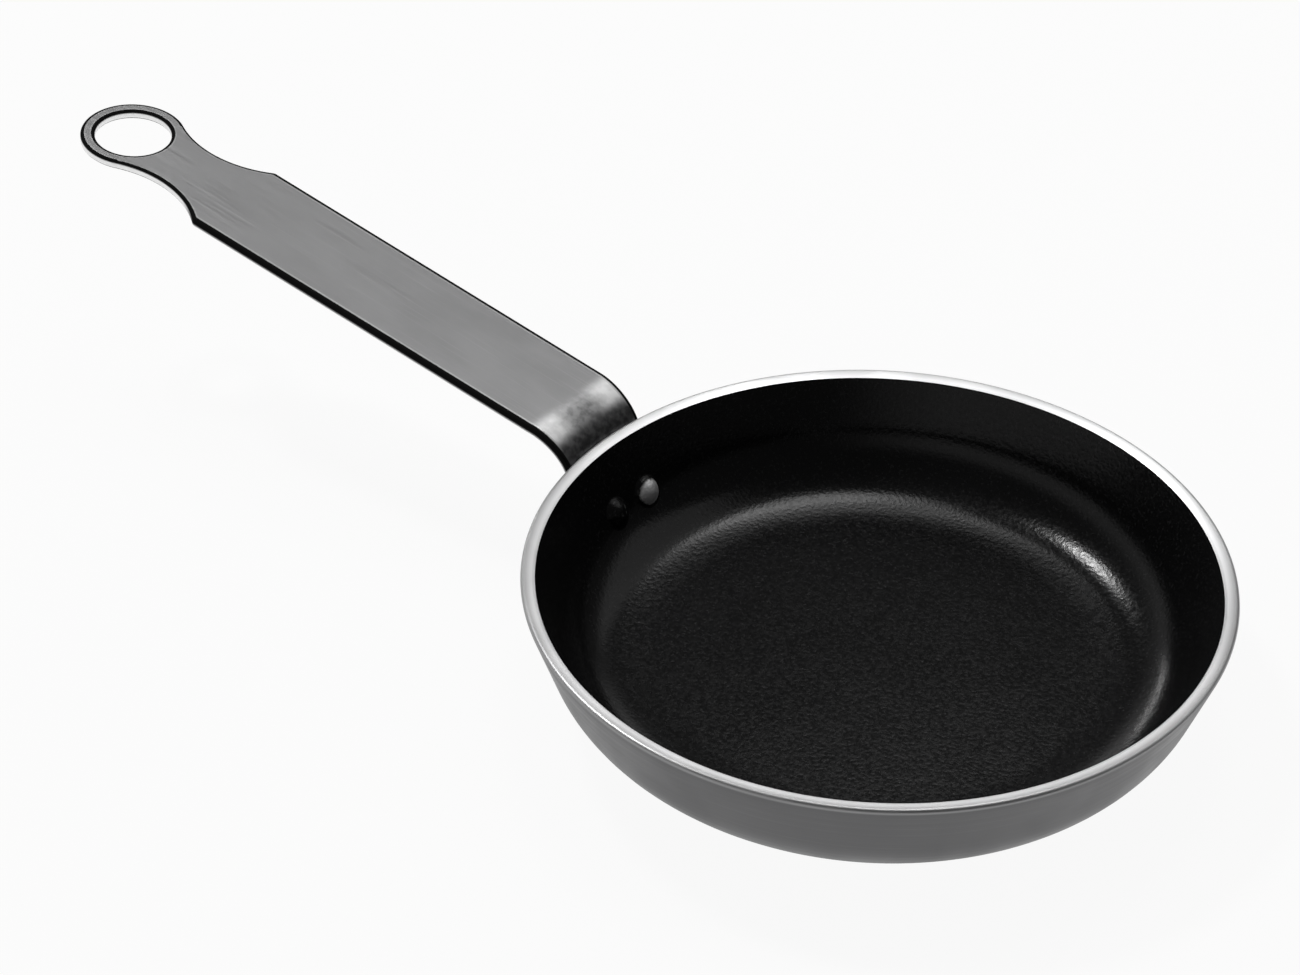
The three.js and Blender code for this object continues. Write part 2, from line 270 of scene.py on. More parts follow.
class PanForm:
    """The pan's section in radius and height, as surfaces set in from the outside of the wall."""

    def __init__(self, body):
        self.body = body
        self.slope = body.wall_angle
        self.corner = body.corner_radius
        self.rim = Vector((body.rim_diameter / 2, body.height))
        self.out = direction(self.slope)
        self.up = Vector((math.cos(self.slope), math.sin(self.slope)))
        self.curve_start = (self.rim - self.curve_end(0.0, 0.0)).length

    def wall_radius(self, depth, height):
        run = (height - self.rim.y) * math.cos(self.slope) - depth
        return self.rim.x + run / math.sin(self.slope)

    def on_wall(self, depth, height):
        return Vector((self.wall_radius(depth, height), height))

    def curve_centre(self, depth, level):
        return self.on_wall(self.corner, level + self.corner - depth)

    def curve_end(self, depth, level):
        return self.curve_centre(depth, level) + self.out * (self.corner - depth)

    def floor_and_wall(self, depth, level, height, blend=0.0):
        """From the axis over a floor at a level, up the curve and the wall at a depth, to a height.

        Up to the angle of the blend, the curve is the wider one.
        """
        wide = self.body.blend_radius
        radius = self.corner - depth
        lift = (wide - radius) * (1.0 - math.cos(blend))
        curve = arc(self.curve_centre(depth, level + lift), radius, blend, self.slope, CURVE_STEPS)
        if blend:
            centre = Vector((curve[0].x - wide * math.sin(blend), level + wide))
            curve = arc(centre, wide, 0.0, blend, ROUND_STEPS)[:-1] + curve
        start = Vector((0.0, level))
        end = self.on_wall(depth, height)
        floor = between(start, curve[0], FLOOR_RINGS)
        wall = between(curve[-1], end, WALL_STEPS)
        return [start, *floor, *curve, *wall, end]

    def inside(self, depth, level, height):
        """As floor_and_wall, for the inside of the pan, where the floor goes over softly into the curve."""
        return self.floor_and_wall(depth, level, height, self.body.blend_angle)

    def down_wall(self, distance, gap):
        """Point and slope at a distance down the outside from the rim's edge, held off it by a gap."""
        if distance <= self.curve_start:
            return self.rim - self.up * distance + self.out * gap, self.slope
        turn = self.slope - (distance - self.curve_start) / self.corner
        return self.curve_centre(0.0, 0.0) + direction(turn) * (self.corner + gap), turn


class StripForm:
    """The handle's strip: a straight line from over the rim, a bend, and a flange on the wall.

    Places along the strip are measured outwards from over the rim's edge, and are negative down the flange.
    """

    def __init__(self, pan, handle, rivets):
        self.pan = pan
        self.handle = handle
        self.start = pan.rim + Vector((0.0, handle.lift))
        self.line = Vector((math.cos(handle.rise), math.sin(handle.rise)))
        under = self.start + direction(handle.rise) * handle.bend_radius
        short_by = SEAM + handle.bend_radius - (under - pan.rim).dot(pan.out)
        self.bend_start = short_by / self.line.dot(pan.out)
        self.bend_centre = under + self.line * self.bend_start
        self.bend_end = self.bend_start - handle.bend_radius * (pan.slope - handle.rise)
        self.flange_top = (pan.rim - self.bend_centre).dot(pan.up)
        self.flange_end = self.bend_end - (rivets.drop + rivets.margin - self.flange_top)

    def top(self, along):
        """Point and slope of the top face."""
        if along >= self.bend_start:
            return self.start + self.line * along, self.handle.rise
        if along >= self.bend_end:
            turn = self.handle.rise + (self.bend_start - along) / self.handle.bend_radius
            return self.bend_centre - direction(turn) * self.handle.bend_radius, turn
        return self.pan.down_wall(self.flange_top + self.bend_end - along, SEAM)

    def point(self, along, across, under):
        """Point under the top face. The flange is wrapped round the wall, and flattens in the bend."""
        place, turn = self.top(along)
        radius, height = place + direction(turn) * under
        wrap = 1.0 - smooth((along - self.bend_end) / (self.bend_start - self.bend_end))
        sag = radius - math.sqrt(radius**2 - across**2)
        return Vector((wrap * sag - radius, across, height))

    def outline(self):
        """One edge from the flange's end to the eye: places along and across, and their outward normals."""
        handle = self.handle
        places = []

        def edge_normal(turn):
            return Vector((-math.sin(turn), math.cos(turn)))

        def add(along, across, normal):
            places.append((Vector((along, across)), Vector(normal)))

        def run(steps, place, skip_first=True):
            for i in range(1 if skip_first else 0, steps + 1):
                place(i / steps)

        half_flange = handle.flange_width / 2
        half_bend = handle.width_at_bend / 2
        half_shoulder = handle.width_at_shoulder / 2
        corner = Vector((self.flange_end + handle.flange_corner, half_flange - handle.flange_corner))

        def flange_corner(part):
            normal = edge_normal(math.pi / 2 * (1.0 - part))
            add(*(corner + normal * handle.flange_corner), normal)

        def straight(start, end, from_half, to_half):
            def place(part):
                add(start + (end - start) * part, from_half + (to_half - from_half) * part, (0.0, 1.0))
            return place

        waist = self.waist()
        run(ROUND_STEPS, flange_corner, skip_first=False)
        run(ROUND_STEPS, straight(corner.x, self.bend_end, half_flange, half_flange))
        run(CURVE_STEPS, straight(self.bend_end, self.bend_start, half_flange, half_bend))
        run(CURVE_STEPS, straight(self.bend_start, waist["round_centre"].x, half_bend, half_shoulder))

        def shoulder(part):
            normal = edge_normal(waist["from"] * part)
            add(*(waist["round_centre"] + normal * handle.shoulder_round), normal)

        def waist_curve(part):
            normal = edge_normal(waist["from"] + (waist["to"] - waist["from"]) * part)
            add(*(waist["centre"] - normal * handle.waist_radius), normal)

        run(ROUND_STEPS, shoulder)
        self.neck_start = len(places) - 1
        run(CURVE_STEPS, waist_curve)
        return places

    def waist(self):
        """Centre and ends of the waist's curve, which meets the eye's circle and the shoulder's round."""
        handle = self.handle
        eye = handle.eye_diameter / 2
        height = handle.waist_width / 2 + handle.waist_radius
        to = math.acos(height / (handle.waist_radius + eye))
        centre = Vector((handle.eye_reach - (handle.waist_radius + eye) * math.sin(to), height))
        reach = handle.waist_radius + handle.shoulder_round
        round_height = handle.width_at_shoulder / 2 - handle.shoulder_round
        back = math.acos((height - round_height) / reach)
        round_centre = Vector((centre.x - reach * math.sin(back), round_height))
        return {"centre": centre, "from": -back, "to": to, "round_centre": round_centre}


class MeshMaker:
    """Collects vertices, with named numbers on them, and faces."""

    def __init__(self, *numbers):
        self.places = []
        self.faces = []
        self.numbers = {name: [] for name in numbers}

    def vertex(self, place, **numbers):
        self.places.append(place)
        for name, value in numbers.items():
            self.numbers[name].append(value)
        return len(self.places) - 1

    def band(self, first, second, closed=True):
        """Faces between two rows of vertices."""
        count = len(first)
        for i in range(count if closed else count - 1):
            j = (i + 1) % count
            self.faces.append((first[i], first[j], second[j], second[i]))

    def fan(self, centre, ring):
        for i, vertex in enumerate(ring):
            self.faces.append((centre, vertex, ring[(i + 1) % len(ring)]))

    def finish(self, name):
        """Object of the mesh, shaded smooth, with its faces turned outwards."""
        mesh = bpy.data.meshes.new(name)
        mesh.from_pydata(self.places, [], self.faces)
        for key, values in self.numbers.items():
            kind = "FLOAT_VECTOR" if isinstance(values[0], Vector) else "FLOAT"
            layer = mesh.attributes.new(key, kind, "POINT")
            for item, value in zip(layer.data, values):
                if kind == "FLOAT":
                    item.value = value
                else:
                    item.vector = value
        shaped = bmesh.new()
        shaped.from_mesh(mesh)
        bmesh.ops.recalc_face_normals(shaped, faces=shaped.faces)
        shaped.to_mesh(mesh)
        shaped.free()
        mesh.shade_smooth()
        mesh.set_sharp_from_angle(angle=SHARP)
        piece = bpy.data.objects.new(name, mesh)
        bpy.context.scene.collection.objects.link(piece)
        return piece


def turned(name, profile, sides):
    """A profile of radius and height, from the axis round to the axis, turned about Z."""
    maker = MeshMaker()
    bottom = maker.vertex((0.0, 0.0, profile[0].y))
    top = maker.vertex((0.0, 0.0, profile[-1].y))
    rings = []
    for radius, height in profile[1:-1]:
        turns = (2.0 * math.pi * i / sides for i in range(sides))
        rings.append(
            [maker.vertex((radius * math.cos(turn), radius * math.sin(turn), height)) for turn in turns]
        )
    maker.fan(bottom, rings[0])
    for lower, upper in zip(rings, rings[1:]):
        maker.band(lower, upper)
    maker.fan(top, rings[-1])
    return maker.finish(name)


def body_profile(form):
    """Up the outside, over the rim, whose top face slopes inwards, and down the inside."""
    body = form.body
    slope = body.rim_slope
    depth = body.wall - body.rim_inner_round
    outer = form.on_wall(body.rim_round, body.height - body.rim_round)
    run = outer.x - form.wall_radius(depth, outer.y)
    drop = body.rim_inner_round - body.rim_round + run * math.sin(slope)
    inner = form.on_wall(depth, outer.y - drop / (math.cos(slope) - math.sin(slope) / math.tan(form.slope)))
    outside = form.floor_and_wall(0.0, 0.0, outer.y - body.rim_round * math.cos(form.slope))
    inside = form.inside(body.wall, body.floor, inner.y + body.rim_inner_round * math.cos(form.slope))
    over = arc(outer, body.rim_round, form.slope, math.pi + slope, ROUND_STEPS)
    into = arc(inner, body.rim_inner_round, math.pi + slope, math.pi + form.slope, ROUND_STEPS)
    return [*outside[:-1], *over, *into, *inside[-2::-1]]


def lining_profile(form, lining):
    """Along the metal from the axis to the coat's edge, and back over the coat's face."""
    body = form.body
    edge = body.height - lining.edge_drop
    back = form.inside(body.wall + SEAM, body.floor + SEAM, edge)
    full = edge - lining.feather
    face = form.inside(body.wall + lining.coat, body.floor + lining.coat, full)
    thinning = []
    for i in range(1, ROUND_STEPS):
        part = i / ROUND_STEPS
        depth = lining.coat * (1.0 - part)
        thinning.append(form.on_wall(body.wall + SEAM + depth, full + lining.feather * part))
    return [*back, *reversed(thinning), *reversed(face)]


def handle_mesh(form):
    """The strip as one closed sheet with round edges, and rings of faces round the hanging eye."""
    handle = form.handle
    maker = MeshMaker("strip_place", "strip_side")
    outline = form.outline()
    rows = len(outline)
    eye = Vector((handle.eye_reach, 0.0))
    radius = handle.eye_diameter / 2
    spread = math.pi / 2 - form.waist()["to"]
    shares = [1.0 - 2.0 * i / STRIP_COLUMNS for i in range(STRIP_COLUMNS + 1)]
    neck_turns = [math.pi - spread * part for part in shares]
    open_turns = [
        math.pi + spread + 2.0 * (math.pi - spread) * i / EYE_STEPS for i in range(1, EYE_STEPS)
    ]

    def add(place, under, side):
        along, across = place
        return maker.vertex(
            form.point(along, across, under), strip_place=Vector((along, across, under)), strip_side=side
        )

    def outward(turn):
        return Vector((math.cos(turn), math.sin(turn)))

    def round_eye(turn, reach):
        return eye + outward(turn) * reach

    def row_place(row, part, inset):
        """Place in a row across the strip. Towards the eye, the rows bow to follow its circle."""
        edge, normal = outline[row]
        along, half = edge - normal * inset
        bow = max(0.0, (row - form.neck_start) / (rows - 1 - form.neck_start))
        bowed = math.sin(spread * part) / math.sin(spread)
        dip = (radius - inset) * (math.cos(spread * part) - math.cos(spread))
        return Vector((along - bow * bow * dip, half * ((1.0 - bow) * part + bow * bowed)))

    def sheet(under):
        """One face of the strip: rows of vertices, then rings round the eye. Returns its two borders."""
        inset = handle.edge_round
        grid = []
        for row in range(rows):
            line = []
            for part in shares:
                at_edge = row == 0 or abs(part) == 1.0
                line.append(add(row_place(row, part, inset), under, 0.0 if at_edge else -1.0))
            grid.append(line)
        for lower, upper in zip(grid, grid[1:]):
            maker.band(lower, upper, closed=False)
        inner = handle.eye_hole / 2 + inset
        outer = radius - inset
        rings = []
        for i in range(EYE_RINGS):
            reach = inner + (outer - inner) * i / EYE_RINGS
            side = 0.0 if i == 0 else -1.0
            rings.append([add(round_eye(turn, reach), under, side) for turn in neck_turns + open_turns])
        open_edge = [add(round_eye(turn, outer), under, 0.0) for turn in open_turns]
        rings.append(grid[-1] + open_edge)
        for lower, upper in zip(rings, rings[1:]):
            maker.band(lower, upper)
        border = [row[0] for row in grid] + open_edge[::-1]
        border += [row[-1] for row in reversed(grid)] + grid[0][-2:0:-1]
        return border, rings[0]

    def border_places():
        """The outer border's places and normals, in the order of a sheet's border."""
        mirror = Vector((1.0, -1.0))
        mirrored = [(place * mirror, normal * mirror) for place, normal in reversed(outline)]
        around = [(round_eye(turn, radius), outward(turn)) for turn in reversed(open_turns)]
        along, half = outline[0][0]
        end = [(Vector((along, half * part)), Vector((-1.0, 0.0))) for part in shares[-2:0:-1]]
        return outline + around + mirrored + end

    def hole_places():
        normals = [-outward(turn) for turn in neck_turns + open_turns]
        return [(eye - normal * handle.eye_hole / 2, normal) for normal in normals]

    def edge_band(upper, lower, places):
        """Round edge from the top face's border down to the under face's border."""
        turns = [math.pi / 2 * i / EDGE_STEPS for i in range(1, EDGE_STEPS + 1)]
        rounds = [(handle.edge_round * (1.0 - math.cos(turn)), math.sin(turn)) for turn in turns]
        levels = rounds + [(handle.strip - under, side) for under, side in reversed(rounds)]
        previous = upper
        for under, side in levels:
            inset = handle.edge_round * (1.0 - side)
            level = [add(place - normal * inset, under, side) for place, normal in places]
            maker.band(previous, level)
            previous = level
        maker.band(previous, lower)

    top_border, top_hole = sheet(0.0)
    under_border, under_hole = sheet(handle.strip)
    edge_band(top_border, under_border, border_places())
    edge_band(top_hole, under_hole, hole_places())
    return maker.finish("handle_strip")


def rivet_place(form, rivets, side):
    """A rivet's own frame: its origin on the outside of the wall, +Z outwards."""
    point, turn = form.down_wall(rivets.drop, 0.0)
    swing = math.asin(rivets.spacing / 2 / point.x) * side
    out = direction(turn)
    normal = Vector((-math.cos(swing) * out.x, math.sin(swing) * out.x, out.y))
    origin = Vector((-point.x * math.cos(swing), point.x * math.sin(swing), point.y))
    return Matrix.Translation(origin) @ normal.to_track_quat("Z", "Y").to_matrix().to_4x4()


def dome(diameter, height):
    """Domed head's profile from its foot's edge to its crown."""
    radius = diameter / 2
    sphere = (radius**2 + height**2) / (2.0 * height)
    rim = math.pi - math.asin(radius / sphere)
    return arc(Vector((0.0, height - sphere)), sphere, rim, math.pi, DOME_STEPS)


def settle(head, place, height, carrier, lowest=-math.inf):
    """Bends a head's foot to the face that carries it. Its crown and what is under a lowest level stay."""
    tree = BVHTree.FromObject(carrier, bpy.context.evaluated_depsgraph_get())
    down = place.to_3x3() @ Vector((0.0, 0.0, -1.0))
    back = place.inverted()
    for vertex in head.data.vertices:
        if vertex.co.z < lowest:
            continue
        above = place @ Vector((vertex.co.x, vertex.co.y, 2.0 * height))
        hit = tree.ray_cast(above, down)[0]
        if hit is None:
            raise RuntimeError(f"{head.name} has nothing under it")
        vertex.co.z += (back @ hit).z * (1.0 - smooth(vertex.co.z / height))
    head.data.transform(place)
    head.data.update()


def drill(piece, cutters):
    """Cuts the cutters' shapes out of a piece, and takes away the needle faces that this leaves."""
    for cutter in cutters:
        hole = piece.modifiers.new("hole", "BOOLEAN")
        hole.operation = "DIFFERENCE"
        hole.solver = "EXACT"
        hole.object = cutter
    drilled = bpy.data.meshes.new_from_object(piece.evaluated_get(bpy.context.evaluated_depsgraph_get()))
    piece.modifiers.clear()
    solid = piece.data
    piece.data = drilled
    bpy.data.meshes.remove(solid)
    drilled.name = piece.name
    mended = bmesh.new()
    mended.from_mesh(drilled)
    bmesh.ops.dissolve_degenerate(mended, dist=NEEDLE, edges=mended.edges)
    mended.to_mesh(drilled)
    mended.free()
    drilled.set_sharp_from_angle(angle=SHARP)


# Finishes


# Range that holds most values of a noise, and its narrower middle
NOISE = (0.3, 0.7)
MIDDLE = (0.35, 0.65)

# Sizes of the patterns in the finishes
BODY_CLOUDS = 0.012
COAT_CLOUDS = 0.015
STRIP_CLOUDS = 0.009
STRIP_LINES = 0.0004
STRIP_BLOTCHES = 0.0016
WORN_BLOTCHES = 0.0018
RIVET_DENTS = 0.0016
RIVET_GRAIN = 0.0003

# Depths of the bumps in the finishes
TURNED_DEPTH = 0.00002
COAT_DEPTH = 0.000038
ROLLED_DEPTH = 0.00001
RIVET_DEPTH = 0.0001

# Refraction of the coat
COAT_IOR = 1.33

# Depths under the rim's top face at which the metal starts to be bare, and is all bare
BARE_FROM = 0.0009
BARE_FULL = 0.00005

# Distances from the bend's start towards the flange at which the painted highlight on its crest starts,
# peaks, fades and ends, and at which the painted dark reflection of the pan's black inside, on the flange,
# starts and is full
CREST_FROM = -0.001
CREST_PEAK = 0.0045
CREST_FADE = 0.0048
CREST_END = 0.0075
SHADE_FROM = 0.0044
SHADE_FULL = 0.0076

# Distances across the bend, from its middle, at which the crest's painted highlight starts to grow
# brighter, and is full
HIGHLIGHT_FROM = 0.002
HIGHLIGHT_FULL = 0.007

# Ranges of the strip's side number, -1 on a face and 0 at its border, of the painted highlight along the
# edges and of the edge band that is painted dark
HIGHLIGHT_SIDE = (-0.95, -0.6)
EDGE_PAINT_SIDE = (-0.5, -0.25)


class Nodes:
    """Short calls that add nodes to a tree."""

    # Sockets with which a mix node mixes colours
    MIX_SHARE, MIX_FIRST, MIX_SECOND, MIX_COLOUR = 0, 6, 7, 2

    def __init__(self, tree):
        self.tree = tree

    def feed(self, socket, value):
        if isinstance(value, NodeSocket):
            self.tree.links.new(value, socket)
        else:
            socket.default_value = value

    def node(self, kind, inputs, output=0, **options):
        made = self.tree.nodes.new("ShaderNode" + kind)
        for name, value in options.items():
            setattr(made, name, value)
        for name, value in inputs.items():
            self.feed(made.inputs[name], value)
        return made.outputs[output]

    def place(self):
        """Place on the object, in metres."""
        return self.node("TexCoord", {}, "Object")

    def number(self, name, output="Fac"):
        """A named number that the mesh holds at its vertices."""
        return self.node("Attribute", {}, output, attribute_name=name)

    def times(self, vector, factors):
        return self.node("VectorMath", {0: vector, 1: factors}, operation="MULTIPLY")

    def part(self, vector, axis):
        return self.node("SeparateXYZ", {0: vector}, axis)

    def from_axis(self, vector):
        """Radius and height of a place, as a vector."""
        level = self.times(vector, (1.0, 1.0, 0.0))
        radius = self.node("VectorMath", {0: level}, "Value", operation="LENGTH")
        return self.node("CombineXYZ", {"X": radius, "Y": self.part(vector, "Z")})

    def noise(self, vector, grain, detail=2.0):
        return self.node("TexNoise", {"Vector": vector, "Scale": 1.0 / grain, "Detail": detail})

    def ramp(self, value, low, high, to_low=0.0, to_high=1.0):
        ends = {"Value": value, "From Min": low, "From Max": high, "To Min": to_low, "To Max": to_high}
        return self.node("MapRange", ends, interpolation_type="SMOOTHSTEP")

    def spread(self, pattern, to_low, to_high, most=NOISE):
        """A number that goes with a noise from one value to another."""
        return self.ramp(pattern, *most, to_low, to_high)

    def product(self, first, second):
        return self.node("Math", {0: first, 1: second}, operation="MULTIPLY")

    def reverse(self, part):
        return self.node("Math", {0: 1.0, 1: part}, operation="SUBTRACT")

    def sum(self, first, second):
        return self.node("Math", {0: first, 1: second}, operation="ADD")

    def greater(self, first, second):
        return self.node("Math", {0: first, 1: second}, operation="MAXIMUM")

    def mix(self, part, first, second):
        ends = {self.MIX_SHARE: part, self.MIX_FIRST: first, self.MIX_SECOND: second}
        return self.node("Mix", ends, self.MIX_COLOUR, data_type="RGBA")

    def vary(self, pattern, rgb, darker, paler, most=NOISE):
        """A colour that goes with a noise from a darker shade to a paler one."""
        return self.mix(self.ramp(pattern, *most), opaque(rgb, darker), opaque(rgb, paler))

    def bump(self, height, depth, strength=1.0):
        return self.node("Bump", {"Height": height, "Distance": depth, "Strength": strength})


class Finish(Nodes):
    """A material and its nodes."""

    def __init__(self, name):
        self.material = bpy.data.materials.new(name)
        self.material.use_nodes = True
        super().__init__(self.material.node_tree)
        self.shader = self.tree.nodes["Principled BSDF"]

    def shade(self, **sockets):
        """Feeds the shader, whose sockets are named in lower case with underscores for spaces."""
        named = {socket.name.lower().replace(" ", "_"): socket for socket in self.shader.inputs}
        for name, value in sockets.items():
            self.feed(named[name], value)
        return self.material


def opaque(rgb, factor=1.0):
    return (*(min(1.0, channel * factor) for channel in rgb), 1.0)


def spun_aluminium(body):
    """Satin aluminium with turning marks round the pan, and bare bright metal on the rim."""
    finish = Finish("spun_aluminium")
    place = finish.place()
    section = finish.from_axis(place)
    marks = finish.noise(section, body.turning_pitch, detail=3.0)
    broad = finish.noise(section, body.turning_pitch * 9.0)
    cloud = finish.noise(place, BODY_CLOUDS, detail=4.0)
    fall = math.tan(body.rim_slope)
    top = body.height - fall * body.rim_diameter / 2
    radius = finish.part(section, "X")
    level = finish.sum(finish.part(section, "Y"), finish.product(radius, -fall))
    bare = finish.ramp(level, top - BARE_FROM, top - BARE_FULL)
    # The rim's bare metal is painted darker towards its outer edge: painted shade for the rim's highlight
    # fading outwards
    outward_shade = finish.ramp(radius, body.rim_diameter / 2 - body.wall, body.rim_diameter / 2)
    outside = finish.vary(cloud, body.outside_colour, 0.9, 1.1)
    outside = finish.mix(finish.ramp(marks, 0.35, 0.75), outside, opaque(body.outside_colour, 1.25))
    metal = finish.vary(marks, body.bare_colour, 0.88, 1.0)
    metal = finish.mix(outward_shade, metal, opaque(body.bare_colour, 0.42))
    rough = finish.sum(finish.spread(marks, 0.3, 0.4), finish.spread(cloud, 0.0, 0.08, MIDDLE))
    rough = finish.sum(rough, finish.product(bare, 0.04))
    grooves = finish.sum(marks, finish.product(broad, 0.6))
    return finish.shade(
        base_color=finish.mix(bare, outside, metal),
        metallic=1.0,
        roughness=rough,
        anisotropic=0.55,
        anisotropic_rotation=0.25,
        tangent=finish.node("Tangent", {}, direction_type="RADIAL", axis="Z"),
        normal=finish.bump(grooves, TURNED_DEPTH, 0.5),
    )


def nonstick_coat(lining):
    """Black coat with a fine grain that breaks up its sheen, and a few paler grains."""
    finish = Finish("nonstick_coat")
    place = finish.place()
    grain = finish.noise(place, lining.grain)
    flecks = finish.ramp(finish.noise(place, lining.grain * 0.8), 0.56, 0.7)
    cloud = finish.noise(place, COAT_CLOUDS, detail=3.0)
    return finish.shade(
        base_color=finish.mix(flecks, opaque(lining.coat_colour), opaque(lining.fleck_colour)),
        roughness=finish.sum(finish.spread(cloud, 0.15, 0.17), finish.spread(grain, 0.0, 0.08, MIDDLE)),
        ior=COAT_IOR,
        normal=finish.bump(grain, COAT_DEPTH),
    )


def rolled_steel(handle, form):
    """Satin rolled strip with lines along it; painted highlights on its bend and edges, painted shade on
    its edges, a painted dark reflection of the pan on its flange, and painted light towards the eye.
    """
    finish = Finish("rolled_steel")
    place = finish.number("strip_place", "Vector")
    side = finish.number("strip_side")
    along = finish.part(place, "X")
    across = finish.node("Math", {0: finish.part(place, "Y")}, operation="ABSOLUTE")
    lines = finish.noise(finish.times(place, (0.02, 1.0, 1.0)), STRIP_LINES, detail=3.0)
    cloud = finish.noise(finish.times(place, (0.5, 1.0, 1.0)), STRIP_CLOUDS, detail=3.0)
    blotch = finish.noise(place, STRIP_BLOTCHES)
    face = finish.vary(cloud, handle.face_colour, 0.94, 1.06)
    face = finish.mix(finish.ramp(lines, 0.5, 0.8), face, opaque(handle.face_colour, 1.2))

    bend = form.bend_start
    # Painted light: the face is painted paler along the handle towards the eye
    to_eye = finish.ramp(along, bend, handle.eye_reach, 0.0, 0.5)
    face = finish.mix(to_eye, face, opaque(handle.face_colour, 1.45))
    # Painted highlight on the bend's crest, brighter towards its two edges
    bend_highlight = finish.product(finish.ramp(along, bend - CREST_END, bend - CREST_FADE),
                           finish.ramp(along, bend - CREST_FROM, bend - CREST_PEAK))
    patchy = finish.sum(finish.ramp(across, HIGHLIGHT_FROM, HIGHLIGHT_FULL, 0.12, 1.0),
                        finish.spread(blotch, -0.12, 0.12, MIDDLE))
    face = finish.mix(finish.product(bend_highlight, patchy), face, opaque(handle.highlight_colour, 1.95))
    depth = finish.part(place, "Z")
    upper = finish.ramp(depth, handle.strip * 0.75, handle.strip * 0.25)
    # Painted dark reflection of the pan's black inside, on the top of the bend's end and the flange
    flange_shade = finish.product(finish.ramp(along, bend - SHADE_FROM, bend - SHADE_FULL), upper)
    face = finish.mix(flange_shade, face, finish.vary(blotch, handle.face_colour, 0.33, 0.7, MIDDLE))

    # Painted highlight in a thin line along the edges of the faces
    painted = finish.product(finish.ramp(side, *HIGHLIGHT_SIDE), finish.ramp(lines, 0.3, 0.6, 0.5, 0.7))
    painted = finish.product(painted, finish.reverse(flange_shade))
    face = finish.mix(painted, face, opaque(handle.highlight_colour))
    # The edge band is painted dark as shade, and is not metal there; its sides get painted highlights, in
    # their middle at the eye and on their lower half along the blade
    edge_paint = finish.ramp(side, *EDGE_PAINT_SIDE)
    waist = form.waist()
    shoulder = waist["round_centre"].x
    at_eye = finish.ramp(along, shoulder, (shoulder + waist["centre"].x) / 2)
    middle = finish.product(finish.ramp(depth, handle.strip * 0.15, handle.strip * 0.35),
                            finish.ramp(depth, handle.strip * 0.9, handle.strip * 0.75))
    lower = finish.product(finish.ramp(depth, handle.strip * 0.5, handle.strip * 0.9),
                           finish.reverse(at_eye))
    side_highlight = finish.sum(finish.product(middle, at_eye), lower)
    edge_shading = finish.mix(side_highlight, opaque(handle.shaded_edge_colour), opaque(handle.highlight_colour, 2.0))
    dark_band = finish.product(edge_paint, finish.reverse(side_highlight))
    return finish.shade(
        base_color=finish.mix(edge_paint, face, edge_shading),
        metallic=finish.reverse(dark_band),
        specular_ior_level=0.0,
        roughness=finish.sum(finish.spread(lines, 0.36, 0.46), finish.product(edge_paint, 0.1)),
        normal=finish.bump(lines, ROLLED_DEPTH, 0.5),
    )


def worn_coat(lining, rivets):
    """The coat on a rivet's head, worn through to the metal on the crown."""
    finish = Finish("worn_coat")
    place = finish.place()
    grain = finish.noise(place, lining.grain)
    blotch = finish.noise(place, WORN_BLOTCHES)
    patchy = finish.sum(finish.number("crown"), finish.spread(blotch, -0.12, 0.12))
    bare = finish.ramp(patchy, 0.25, 0.6)
    return finish.shade(
        base_color=finish.mix(bare, opaque(lining.coat_colour), opaque(rivets.worn_colour)),
        metallic=bare,
        roughness=finish.ramp(bare, 0.0, 1.0, 0.24, 0.58),
        ior=COAT_IOR,
        normal=finish.bump(grain, RIVET_DEPTH),
    )


def rivet_metal(rivets):
    """Formed rivet, with the dents of its setting."""
    finish = Finish("rivet_metal")
    place = finish.place()
    dents = finish.noise(place, RIVET_DENTS)
    fine = finish.noise(place, RIVET_GRAIN, detail=3.0)
    return finish.shade(
        base_color=finish.vary(fine, rivets.metal_colour, 0.85, 1.1),
        metallic=1.0,
        roughness=finish.spread(fine, 0.3, 0.42),
        normal=finish.bump(finish.sum(dents, finish.product(fine, 0.1)), RIVET_DEPTH, 0.5),
    )


def seen_or_mirrored(finish):
    """1 for rays from the camera, and for those from a mirror or through glass."""
    seen = finish.node("LightPath", {}, "Is Camera Ray")
    mirrored = finish.node("LightPath", {}, "Is Glossy Ray")
    through = finish.node("LightPath", {}, "Is Transmission Ray")
    return finish.greater(finish.greater(seen, mirrored), through)


def pale_floor(stage):
    """White floor that keeps a soft shadow, and that isn't seen from below."""
    finish = Finish("pale_floor")
    tree = finish.tree
    tree.nodes.remove(finish.shader)
    matt = finish.node("BsdfDiffuse", {"Color": opaque(stage.floor_colour)})
    glow = finish.node("Emission", {"Color": (1.0, 1.0, 1.0, 1.0), "Strength": 1.0})
    shown = finish.product(seen_or_mirrored(finish), stage.floor_glow)
    front = finish.node("MixShader", {0: shown, 1: matt, 2: glow})
    behind = finish.node("NewGeometry", {}, "Backfacing")
    clear = finish.node("BsdfTransparent", {})
    both = finish.node("MixShader", {0: behind, 1: front, 2: clear})
    tree.links.new(both, tree.nodes["Material Output"].inputs["Surface"])
    return finish.material


# Operators


def settings(context):
    return context.scene.blini_pan


def dress(piece, material, slot, *nodes):
    """Gives a piece its finish and its place in the frame."""
    piece.data.materials.clear()
    piece.data.materials.append(material)
    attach(piece, BODY)
    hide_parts(*nodes)


